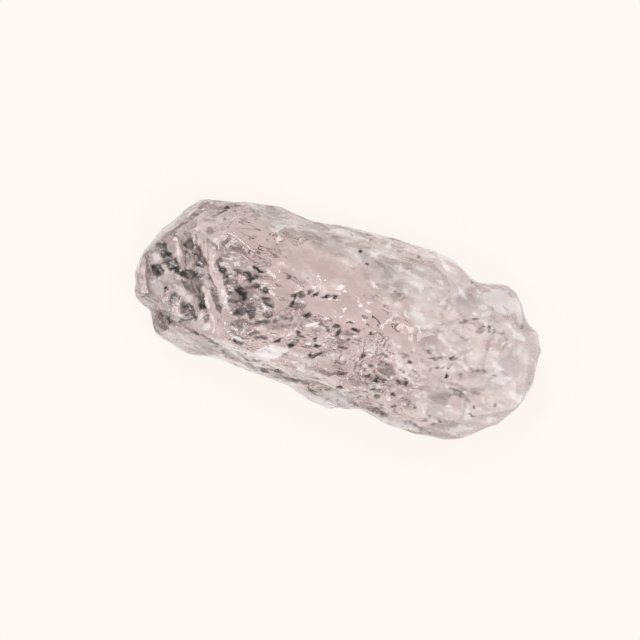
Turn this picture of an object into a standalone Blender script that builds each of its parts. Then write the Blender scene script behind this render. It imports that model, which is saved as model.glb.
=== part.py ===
"""A piece of rough morganite: one broken length of a pink beryl crystal, lying on its flattest face.

Metres, +Z up. The long axis of the crystal runs along X. The stone stands on the plane z = 0, and the middle of its
bounding box is over the origin.
"""

import math
import random

import bmesh
import bpy
from mathutils import Vector, noise
from mathutils.bvhtree import BVHTree

MM = 0.001
WELD = 0.002 * MM

# The outline seen from straight above, in millimetres, clockwise from the corner at the far left of the back. A corner
# is sharp, and every other point lies on a smooth curve.
CORNER, ROUND = "VECTOR", "AUTO"
OUTLINE = [
    (-11.9, 4.8, CORNER),
    (-9.4, 5.2, ROUND),
    (-8.0, 5.7, ROUND),
    (-6.3, 5.9, CORNER),
    (-4.8, 5.7, ROUND),
    (-2.0, 6.1, ROUND),
    (1.4, 6.2, ROUND),
    (4.5, 6.4, CORNER),
    (6.2, 6.1, ROUND),
    (7.7, 5.3, ROUND),
    (8.6, 5.2, ROUND),
    (9.8, 5.4, ROUND),
    (11.1, 5.3, ROUND),
    (11.7, 4.8, ROUND),
    (12.2, 4.0, ROUND),
    (12.8, 3.4, ROUND),
    (13.7, 3.1, ROUND),
    (14.2, 2.3, CORNER),
    (14.1, 0.9, ROUND),
    (14.2, -0.6, ROUND),
    (13.9, -1.9, CORNER),
    (12.7, -3.5, ROUND),
    (11.4, -4.8, ROUND),
    (9.9, -5.8, ROUND),
    (8.3, -6.1, ROUND),
    (7.2, -6.3, ROUND),
    (6.3, -6.0, CORNER),
    (5.4, -6.1, ROUND),
    (4.0, -5.7, ROUND),
    (2.9, -5.7, ROUND),
    (1.7, -6.2, ROUND),
    (0.3, -6.4, ROUND),
    (-0.7, -6.1, ROUND),
    (-1.5, -5.8, ROUND),
    (-3.2, -5.7, ROUND),
    (-5.6, -5.5, ROUND),
    (-7.7, -5.3, ROUND),
    (-9.1, -5.6, ROUND),
    (-11.2, -5.3, ROUND),
    (-12.3, -4.7, ROUND),
    (-12.6, -3.7, CORNER),
    (-13.8, -3.3, ROUND),
    (-14.3, -2.6, ROUND),
    (-14.7, -1.2, ROUND),
    (-14.5, 0.1, CORNER),
]
OUTLINE_MARGIN = 0.1
OUTLINE_SMOOTHNESS = 4
BLANK_BOTTOM, BLANK_TOP = -1.0, 10.5

# The natural faces: a point on each in millimetres, the bearing that it faces round Z, and how far it leans from
# facing straight up. A lean over 90 degrees faces down.
FACES = {
    "front_top": ((-3.0, -1.5, 8.8), -112, 8),
    "back_top": ((0.0, 1.9, 8.6), 68, 14),
    "back_slope": ((0.0, 4.3, 7.2), 86, 38),
    "back_rim": ((-1.0, 6.0, 5.0), 93, 66),
    "front_side": ((0.0, -5.1, 7.2), -96, 70),
    "left_end": ((-7.2, 0.0, 8.7), 206, 17),
    "left_bevel": ((-10.8, 3.6, 6.8), 128, 54),
    "left_tip": ((-14.5, -1.0, 4.9), 186, 62),
    "left_front": ((-11.8, -4.8, 5.6), -118, 62),
    "right_end": ((5.0, 0.0, 8.2), 4, 17),
    "right_tip": ((14.1, 0.5, 5.1), 2, 58),
    "right_front": ((11.5, -4.1, 5.6), -47, 52),
    "right_low_front": ((7.0, -5.6, 6.0), -84, 60),
    "right_back": ((9.6, 4.5, 5.7), 56, 45),
    "under_front": ((0.0, -6.4, 2.9), -88, 114),
    "under_front_right": ((6.5, -6.1, 2.6), -74, 129),
    "under_back": ((-3.0, 5.9, 3.4), 94, 126),
    "under_back_right": ((5.0, 6.3, 4.0), 84, 135),
    "under_left": ((-14.7, -1.0, 3.4), 187, 138),
    "under_left_back": ((-13.0, 3.6, 2.9), 147, 122),
    "under_left_front": ((-12.9, -4.4, 2.6), -138, 121),
    "under_right": ((14.1, 0.5, 3.4), -4, 140),
    "under_right_back": ((11.7, 4.7, 3.4), 52, 125),
    "under_right_front": ((12.1, -4.3, 3.0), -49, 127),
    "flat_base_left": ((-9.5, 0.0, 0.1), 190, 174),
    "flat_base_right": ((8.5, 2.0, 0.1), 32, 172),
}

# Small flats where handling has knocked the sharpest corners off.
KNOCKS = 30
KNOCK_DEPTHS = (0.12, 0.45)
KNOCK_LEANS = (20, 72)
KNOCK_SEED = 26

# The steps across the broken left end, each with the bearing it faces, the distance of its edge from Z along that
# bearing, the height of the edge's foot, and the lean of the tread in front of it.
STEPS = [
    (208, 8.5, 7.5, 10),
    (205, 10.2, 6.5, 12),
    (212, 12.3, 5.3, 16),
]
RISER_LEAN = 58
STEP_SIZE = 30.0

# Shell-shaped breaks: a point near the skin in millimetres, the bearing and lean that the break faces, the radius of
# the hollow and its depth below the skin there.
BREAKS = {
    "lens": ((1.9, 3.7, 7.7), 84, 30, 4.4, 0.35),
    "frosted_hollow": ((5.6, 2.4, 7.7), 36, 24, 4.0, 0.5),
    "behind_the_bump": ((8.4, 3.4, 6.5), 70, 34, 2.8, 0.6),
    "dark_hollow": ((-6.3, 0.3, 8.9), -110, 14, 2.6, 0.45),
    "hollow_beside_it": ((-6.6, -2.6, 8.5), -150, 16, 3.0, 0.4),
    "bright_flat": ((-3.8, -4.1, 8.4), -100, 38, 3.6, 0.35),
    "eye": ((3.6, -3.0, 8.8), -96, 16, 1.5, 0.4),
    "front_notch": ((3.4, -5.7, 6.8), -88, 58, 2.2, 0.45),
    "lip_shelf": ((0.4, -5.8, 6.2), -92, 54, 2.0, 0.5),
    "right_arc": ((10.6, -1.4, 6.5), -20, 22, 3.6, 0.35),
    "right_notch": ((13.0, 3.8, 4.8), 42, 52, 1.5, 0.4),
    "corner_notch": ((-13.1, -4.2, 4.6), -140, 58, 1.4, 0.4),
    "back_scoop": ((-5.4, 5.6, 5.4), 96, 58, 2.8, 0.45),
    "back_long_scoop": ((2.6, 6.0, 5.6), 88, 60, 4.0, 0.35),
    "under_front_scoop": ((-5.4, -5.6, 2.2), -84, 112, 3.6, 0.5),
    "under_back_scoop": ((-1.6, 5.0, 2.4), 98, 122, 4.2, 0.5),
    "under_right_scoop": ((10.6, -3.0, 1.6), -44, 132, 3.8, 0.5),
    "under_left_scoop": ((-12.0, 0.8, 1.7), 176, 136, 3.2, 0.4),
    "base_bite_back": ((-4.5, 3.6, 0.6), 104, 138, 2.8, 0.7),
    "base_bite_front": ((5.0, -3.6, 0.5), -76, 140, 2.4, 0.6),
}
BREAK_STRETCH = 1.5
BREAK_UNEVENNESS = 0.16
BREAK_WAVE = 2.4
BREAK_DETAIL = 4
CLEAR_OF_STONE = 20.0

# The finish of the broken skin, in millimetres: the voxel that it is rebuilt at, how far its edges are worn, the width
# and height of the waves that bend its edges and swell its faces, and those of the small dents all over it.
VOXEL = 0.22
WEAR_PASSES, WEAR_STRENGTH = 1, 0.5
WARP_WIDTH, WARP_HEIGHT = 2.0, 0.16
SWELL_WIDTH, SWELL_HEIGHT = 3.4, 0.12
DENT_WIDTH, DENT_HEIGHT = 1.8, 0.3
GRAIN_STRETCH = 0.62
TRIANGLES = 9000

PINK = (0.78, 0.66, 0.65, 1.0)
POLISH = 0.12
REFRACTIVE_INDEX = 1.58
SHARPEST_ROUND = math.radians(24)


def direction(facing, lean):
    """A unit vector that leans this far from straight up, towards this bearing round Z. Both are in degrees."""
    bearing, tilt = math.radians(facing), math.radians(lean)
    return Vector((math.sin(tilt) * math.cos(bearing), math.sin(tilt) * math.sin(bearing), math.cos(tilt)))


def clear_scene():
    for thing in list(bpy.data.objects):
        bpy.data.objects.remove(thing, do_unlink=True)


def new_collection(name):
    made = bpy.data.collections.new(name)
    bpy.context.scene.collection.children.link(made)
    return made


def evaluated_mesh(thing):
    """The mesh that the object shows with all its modifiers on."""
    bpy.context.view_layer.update()
    shown = thing.evaluated_get(bpy.context.evaluated_depsgraph_get())
    return bpy.data.meshes.new_from_object(shown)


def blank():
    """The outline as a thick slab, before any face is cut."""
    curve = bpy.data.curves.new("outline", "CURVE")
    curve.dimensions = "2D"
    curve.fill_mode = "BOTH"
    curve.resolution_u = OUTLINE_SMOOTHNESS
    curve.extrude = (BLANK_TOP - BLANK_BOTTOM) / 2 * MM
    curve.offset = OUTLINE_MARGIN * MM
    spline = curve.splines.new("BEZIER")
    spline.bezier_points.add(len(OUTLINE) - 1)
    for point, (x, y, kind) in zip(spline.bezier_points, OUTLINE, strict=True):
        point.co = (x * MM, y * MM, 0)
        point.handle_left_type = point.handle_right_type = kind
    spline.use_cyclic_u = True
    slab = bpy.data.objects.new("slab", curve)
    bpy.context.scene.collection.objects.link(slab)
    shaped = bmesh.new()
    shaped.from_mesh(evaluated_mesh(slab))
    bpy.data.objects.remove(slab)
    bmesh.ops.remove_doubles(shaped, verts=shaped.verts, dist=WELD)
    bmesh.ops.translate(shaped, verts=shaped.verts, vec=(0, 0, (BLANK_TOP + BLANK_BOTTOM) / 2 * MM))
    bmesh.ops.recalc_face_normals(shaped, faces=shaped.faces)
    return shaped


def cleave(shaped, point, outward):
    """Breaks off all that stands proud of one flat face, and closes the stone there."""
    bmesh.ops.bisect_plane(
        shaped,
        geom=shaped.verts[:] + shaped.edges[:] + shaped.faces[:],
        dist=WELD,
        plane_co=point,
        plane_no=outward,
        clear_outer=True,
    )
    bmesh.ops.remove_doubles(shaped, verts=shaped.verts, dist=WELD)
    rim = [edge for edge in shaped.edges if edge.is_boundary]
    bmesh.ops.holes_fill(shaped, edges=rim)


def knock(shaped, outward, depth):
    """Takes a flat off whichever corner reaches furthest this way."""
    furthest = max(shaped.verts, key=lambda vertex: vertex.co.dot(outward))
    cleave(shaped, furthest.co - outward * depth, outward)


def cleaved_crystal():
    """The slab with every natural face and every knocked corner on it."""
    shaped = blank()
    for point, facing, lean in FACES.values():
        cleave(shaped, Vector(point) * MM, direction(facing, lean))
    chance = random.Random(KNOCK_SEED)
    for number in range(KNOCKS):
        lean = chance.uniform(*KNOCK_LEANS)
        if number % 2:
            lean = 180 - lean
        outward = direction(chance.uniform(0, 360), lean)
        knock(shaped, outward, chance.uniform(*KNOCK_DEPTHS) * MM)
    bmesh.ops.recalc_face_normals(shaped, faces=shaped.faces)
    return shaped


def cutter(name, shaped, collection):
    bmesh.ops.recalc_face_normals(shaped, faces=shaped.faces)
    mesh = bpy.data.meshes.new(name)
    shaped.to_mesh(mesh)
    shaped.free()
    made = bpy.data.objects.new(name, mesh)
    made.hide_render = True
    made.display_type = "WIRE"
    collection.objects.link(made)


def step_cutter(facing, reach, height, tread_lean, collection):
    """A block that leaves a sloping riser and, in front of it, a tread."""
    foot = direction(facing, 90) * reach * MM + Vector((0, 0, height * MM))
    tread = direction(facing, tread_lean)
    shaped = bmesh.new()
    bmesh.ops.create_cube(shaped, size=STEP_SIZE * MM)
    bmesh.ops.translate(shaped, verts=shaped.verts, vec=(0, 0, STEP_SIZE / 2 * MM))
    bmesh.ops.rotate(shaped, verts=shaped.verts, matrix=tread.to_track_quat("Z", "Y").to_matrix())
    bmesh.ops.translate(shaped, verts=shaped.verts, vec=foot)
    cleave(shaped, foot, -direction(facing, RISER_LEAN))
    cutter("step", shaped, collection)


def break_cutter(name, skin, point, facing, lean, radius, depth, collection):
    """An uneven ball, longer along the crystal than across, that leaves a shallow hollow."""
    outward = direction(facing, lean)
    on_skin = skin.ray_cast((Vector(point) + outward * CLEAR_OF_STONE) * MM, -outward)[0]
    centre = on_skin + outward * (radius - depth) * MM
    shaped = bmesh.new()
    bmesh.ops.create_icosphere(shaped, subdivisions=BREAK_DETAIL, radius=radius * MM)
    for vertex in shaped.verts:
        place = (vertex.co + centre) / (BREAK_WAVE * MM)
        vertex.co *= 1 + BREAK_UNEVENNESS * noise.noise(place)
        vertex.co.x *= BREAK_STRETCH
        vertex.co += centre
    cutter(name, shaped, collection)


def roughen(mesh):
    """Bends the edges, swells the faces and dents the skin by smooth noise, longer along the crystal than across."""
    normals = [vertex.normal.copy() for vertex in mesh.vertices]
    for vertex, normal in zip(mesh.vertices, normals, strict=True):
        place = vertex.co / MM
        along = Vector((place.x * GRAIN_STRETCH, place.y, place.z))
        warp = noise.noise_vector(place / WARP_WIDTH) * WARP_HEIGHT
        swell = noise.noise(along / SWELL_WIDTH) * SWELL_HEIGHT
        nearest = noise.voronoi(along / DENT_WIDTH)[0][0]
        dent = (min(nearest, 1.0) ** 2 - 0.5) * DENT_HEIGHT
        vertex.co += (warp + normal * (swell + dent)) * MM


def apply_modifiers(thing):
    thing.data = evaluated_mesh(thing)
    thing.modifiers.clear()


def break_skin(stone, skin, cutters):
    """Takes the steps and the hollows out, and rebuilds the skin as one even mesh."""
    for facing, reach, height, tread_lean in STEPS:
        step_cutter(facing, reach, height, tread_lean, cutters)
    for name, values in BREAKS.items():
        break_cutter(name, skin, *values, cutters)
    breaks = stone.modifiers.new("breaks", "BOOLEAN")
    breaks.operation = "DIFFERENCE"
    breaks.operand_type = "COLLECTION"
    breaks.collection = cutters
    rebuilt = stone.modifiers.new("rebuilt", "REMESH")
    rebuilt.mode = "VOXEL"
    rebuilt.voxel_size = VOXEL * MM
    worn = stone.modifiers.new("worn", "SMOOTH")
    worn.iterations = WEAR_PASSES
    worn.factor = WEAR_STRENGTH
    apply_modifiers(stone)


def thin_out(stone):
    """Keeps the triangles where the shape needs them."""
    fewer = stone.modifiers.new("fewer", "DECIMATE")
    stone.data.calc_loop_triangles()
    fewer.ratio = TRIANGLES / len(stone.data.loop_triangles)
    apply_modifiers(stone)


def set_down(stone):
    """Cuts the resting face flat at z = 0, and centres the stone over the origin."""
    shaped = bmesh.new()
    shaped.from_mesh(stone.data)
    cleave(shaped, Vector((0, 0, 0)), Vector((0, 0, -1)))
    middle = Vector((0, 0, 0))
    for axis in (0, 1):
        places = [vertex.co[axis] for vertex in shaped.verts]
        middle[axis] = (min(places) + max(places)) / 2
    bmesh.ops.translate(shaped, verts=shaped.verts, vec=-middle)
    bmesh.ops.recalc_face_normals(shaped, faces=shaped.faces)
    shaped.to_mesh(stone.data)
    shaped.free()
    print("moved", [round(-value / MM, 3) for value in middle], "mm to centre it")


def morganite():
    """Clear, very pale pink beryl with a broken skin."""
    material = bpy.data.materials.new("pale_pink_beryl")
    material.use_nodes = True
    shader = material.node_tree.nodes["Principled BSDF"]
    shader.inputs["Base Color"].default_value = PINK
    shader.inputs["Roughness"].default_value = POLISH
    shader.inputs["Metallic"].default_value = 0.0
    shader.inputs["Transmission Weight"].default_value = 1.0
    shader.inputs["IOR"].default_value = REFRACTIVE_INDEX
    return material


def build():
    clear_scene()
    parts = new_collection("rough_morganite")
    cutters = new_collection("cutters")
    mesh = bpy.data.meshes.new("rough_morganite")
    shaped = cleaved_crystal()
    skin = BVHTree.FromBMesh(shaped)
    shaped.to_mesh(mesh)
    shaped.free()
    stone = bpy.data.objects.new("rough_morganite", mesh)
    parts.objects.link(stone)
    break_skin(stone, skin, cutters)
    roughen(stone.data)
    thin_out(stone)
    set_down(stone)
    stone.data.shade_smooth()
    stone.data.set_sharp_from_angle(angle=SHARPEST_ROUND)
    stone.data.materials.clear()
    stone.data.materials.append(morganite())


build()
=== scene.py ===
# %% [markdown]
# # A piece of rough morganite
# The real thing is a broken length of a pale pink beryl crystal, 29 mm long.
# It is one solid, clear enough to see its own far side through it, so almost all that the eye
# reads on it is light bent by its skin: long calm faces, low ledges where the break changed
# level, a few frosted places, and dark patches that are painted shade. The imported model
# already has the crystal's faces, the stepped left end and the larger hollows. This script
# gives it the finer skin and the glass.

# %% Load the imported stone and measure it
import math

import bpy
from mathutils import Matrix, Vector, noise


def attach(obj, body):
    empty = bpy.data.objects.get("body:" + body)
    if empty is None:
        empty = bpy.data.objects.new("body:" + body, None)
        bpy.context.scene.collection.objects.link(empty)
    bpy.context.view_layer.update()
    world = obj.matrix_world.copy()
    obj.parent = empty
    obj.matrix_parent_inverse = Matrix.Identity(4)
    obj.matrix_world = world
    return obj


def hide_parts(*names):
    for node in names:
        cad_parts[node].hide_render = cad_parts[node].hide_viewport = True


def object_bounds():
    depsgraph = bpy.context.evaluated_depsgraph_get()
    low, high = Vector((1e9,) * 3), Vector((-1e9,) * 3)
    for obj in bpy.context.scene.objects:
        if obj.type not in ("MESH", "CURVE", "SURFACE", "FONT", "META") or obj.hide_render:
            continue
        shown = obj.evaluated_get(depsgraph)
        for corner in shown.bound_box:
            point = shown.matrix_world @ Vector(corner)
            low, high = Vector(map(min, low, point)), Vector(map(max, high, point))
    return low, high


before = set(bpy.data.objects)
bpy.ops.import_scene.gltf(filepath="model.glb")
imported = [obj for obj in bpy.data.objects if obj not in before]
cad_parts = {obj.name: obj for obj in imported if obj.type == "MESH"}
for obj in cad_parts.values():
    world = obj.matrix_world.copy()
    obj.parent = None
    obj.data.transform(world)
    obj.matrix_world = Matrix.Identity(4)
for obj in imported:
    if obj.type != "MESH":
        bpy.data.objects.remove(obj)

MM = 0.001
NOISE_SEED = 19                 # without a seed, noise_vector differs from run to run
noise.seed_set(NOISE_SEED)
cad_low, cad_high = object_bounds()
print("packed stone, mm:", [round((high - low) / MM, 2) for low, high in zip(cad_low, cad_high)])

# %% [markdown]
# ## Camera
# The photograph looks straight down on the stone, which lies 17.9 degrees off level in the
# picture. One pixel is 0.070 mm, so a long lens 0.3 m away keeps the outline nearly free of
# perspective, as the photograph's is.

# %% Place the camera over the stone
PIXEL = 0.070 * MM
PICTURE_WIDTH = 640                          # pixels
STONE_TURN = math.radians(17.9)
LENS = 250.0                                 # focal length, mm
SENSOR = 36.0                                # width, mm
RIM_HEIGHT = 4.5 * MM                        # the outline is widest about half way up
RIGHT_OF_MIDDLE, ABOVE_MIDDLE = 20.5, 3.5    # pixels from the stone's middle to the picture's
MIDDLE_X = 0.2 * MM                          # the outline's middle, from the frame's origin along X


def on_stone(right, up):
    """Turns a distance in the picture, in pixels, into metres along the stone's own axes."""
    return Vector((right * math.cos(STONE_TURN) - up * math.sin(STONE_TURN),
                   right * math.sin(STONE_TURN) + up * math.cos(STONE_TURN), 0.0)) * PIXEL


bpy.ops.object.select_all(action="DESELECT")
bpy.ops.object.camera_add(rotation=(0.0, 0.0, STONE_TURN))
camera = bpy.context.object
camera.data.lens = LENS
camera.data.sensor_width = SENSOR
camera.data.clip_start = 0.001
camera.location = on_stone(-RIGHT_OF_MIDDLE, -ABOVE_MIDDLE) + Vector((MIDDLE_X, 0.0, 0.0))
camera.location.z = RIM_HEIGHT + PICTURE_WIDTH * PIXEL * LENS / SENSOR
bpy.context.scene.camera = camera
print("camera height, mm:", round(camera.location.z / MM, 1))

# %% [markdown]
# ## Floor and light
# A clear stone shows what stands round it. The photograph's ground is nearly white and has no
# shadow, so the floor is a pale sheet that glows, as a light table does, and takes only about
# a tenth of its light from the lamps. Five soft lamps in a ring add the small glints. The
# room is fairly bright, because a steep face at the rim shows the room and not the floor.
# The dark patches are painted shade, marked further down as smoky flaws in the stone's
# colour, in place of dark surroundings.

# %% Lay the floor
bpy.ops.object.select_all(action="DESELECT")
FLOOR_WIDTH = 3.0               # metres
FLOOR_COLOUR = (0.10, 0.097, 0.094, 1.0)
GLOW = 0.90
GLOW_COLOUR = (1.0, 0.938, 0.90, 1.0)
bpy.ops.mesh.primitive_plane_add(size=FLOOR_WIDTH)
table_top = bpy.context.object
table_top.name = "table_top"
paper = bpy.data.materials.new("white_paper")
paper.use_nodes = True
paper_shader = paper.node_tree.nodes["Principled BSDF"]
paper_shader.inputs["Base Color"].default_value = FLOOR_COLOUR
paper_shader.inputs["Roughness"].default_value = 0.9
paper_shader.inputs["Specular IOR Level"].default_value = 0.0
paper_shader.inputs["Emission Color"].default_value = GLOW_COLOUR
paper_shader.inputs["Emission Strength"].default_value = GLOW
table_top.data.materials.append(paper)
print("floor:", tuple(round(side, 2) for side in table_top.dimensions), "m")

# %% Hang the lamps and light the room
LAMP_RING = 0.55                # metres from the stone, on the level
LAMP_HEIGHT = 0.85
LAMPS = {                       # degrees round the ring, width in metres, watts
    "lamp_behind_left": (124, 0.34, 2.0),
    "lamp_behind_right": (52, 0.20, 0.6),
    "lamp_left": (200, 0.30, 1.2),
    "lamp_front": (292, 0.20, 0.8),
    "lamp_right": (345, 0.34, 1.2),
}
for name, (around, width, watts) in LAMPS.items():
    where = Vector((LAMP_RING * math.cos(math.radians(around)),
                    LAMP_RING * math.sin(math.radians(around)), LAMP_HEIGHT))
    bpy.ops.object.light_add(type="AREA", location=where,
                             rotation=(-where).to_track_quat("-Z", "Y").to_euler())
    lamp = bpy.context.object
    lamp.name = name
    lamp.data.shape = "DISK"
    lamp.data.size = width
    lamp.data.energy = watts

ROOM_COLOUR = (0.94, 0.905, 0.89, 1.0)
ROOM_STRENGTH = 0.60
room = bpy.data.worlds.new("room")
room.use_nodes = True
room.node_tree.nodes["Background"].inputs["Color"].default_value = ROOM_COLOUR
room.node_tree.nodes["Background"].inputs["Strength"].default_value = ROOM_STRENGTH
bpy.context.scene.world = room

GLASS_BOUNCES = 24              # a ray that uses them all up inside the stone ends black
picture = bpy.context.scene
picture.view_settings.view_transform = "Standard"
picture.cycles.max_bounces = GLASS_BOUNCES
picture.cycles.transmission_bounces = GLASS_BOUNCES
picture.cycles.glossy_bounces = 12
picture.cycles.transparent_max_bounces = 16
print("lamps:", ", ".join(LAMPS))

# %% [markdown]
# ## Where the skin changes
# The skin isn't the same all over. Pale bars cross the left end, with painted shade between
# them as smoky flaws, the lower middle is broken into short streaks, and the far right is calm
# and milky.
# Each place is written once, in millimetres along the stone, as a bent line or an oval with
# a soft edge, and the same places then steer both the shape and the glass. The sharp marks
# were read off the photograph. The wide, weak ovals were put in afterwards, where the
# stone's broad tone was still too light or too dark.

# %% Soft-edged lines and ovals, in millimetres


def fade(value, start, end):
    """Goes smoothly from 0 at start to 1 at end."""
    share = min(1.0, max(0.0, (value - start) / (end - start)))
    return share * share * (3.0 - 2.0 * share)


def by_column(spots):
    """Sorts ovals into columns 1 mm wide, so that a point is held against a few of them only."""
    columns = {}
    for x, y, half_long, half_wide, turn, strength in spots:
        along, across = math.cos(math.radians(turn)), math.sin(math.radians(turn))
        spot = (x, y, half_long, half_wide, along, across, strength)
        for column in range(math.floor(x - half_long), math.floor(x + half_long) + 1):
            columns.setdefault(column, []).append(spot)
    return columns


SPLINTER = 1.4                  # 2 would be a round oval, 1 a diamond with sharp ends


def ovals(point, columns):
    """The strongest of some ovals: full strength in the middle of each, 0 at its edge."""
    strongest = 0.0
    for x, y, half_long, half_wide, along, across, strength in columns.get(math.floor(point.x), ()):
        dx, dy = point.x - x, point.y - y
        if abs(dx) < half_long and abs(dy) < half_long:
            reach = (abs((dx * along + dy * across) / half_long) ** SPLINTER
                     + abs((dy * along - dx * across) / half_wide) ** SPLINTER) ** (1.0 / SPLINTER)
            strongest = max(strongest, strength * fade(1.0 - reach, 0.0, 0.4))
    return strongest


def line(point, bends):
    """1 on a bent line, 0 at its half width, which may differ from bend to bend."""
    nearest = 1.0
    for (ax, ay, a_wide), (bx, by, b_wide) in zip(bends, bends[1:]):
        ex, ey = bx - ax, by - ay
        along = ((point.x - ax) * ex + (point.y - ay) * ey) / (ex * ex + ey * ey)
        along = min(1.0, max(0.0, along))
        away = math.hypot(point.x - ax - along * ex, point.y - ay - along * ey)
        nearest = min(nearest, away / (a_wide + along * (b_wide - a_wide)))
    return 1.0 - nearest


print("fade half way:", fade(0.5, 0.0, 1.0))
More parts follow.
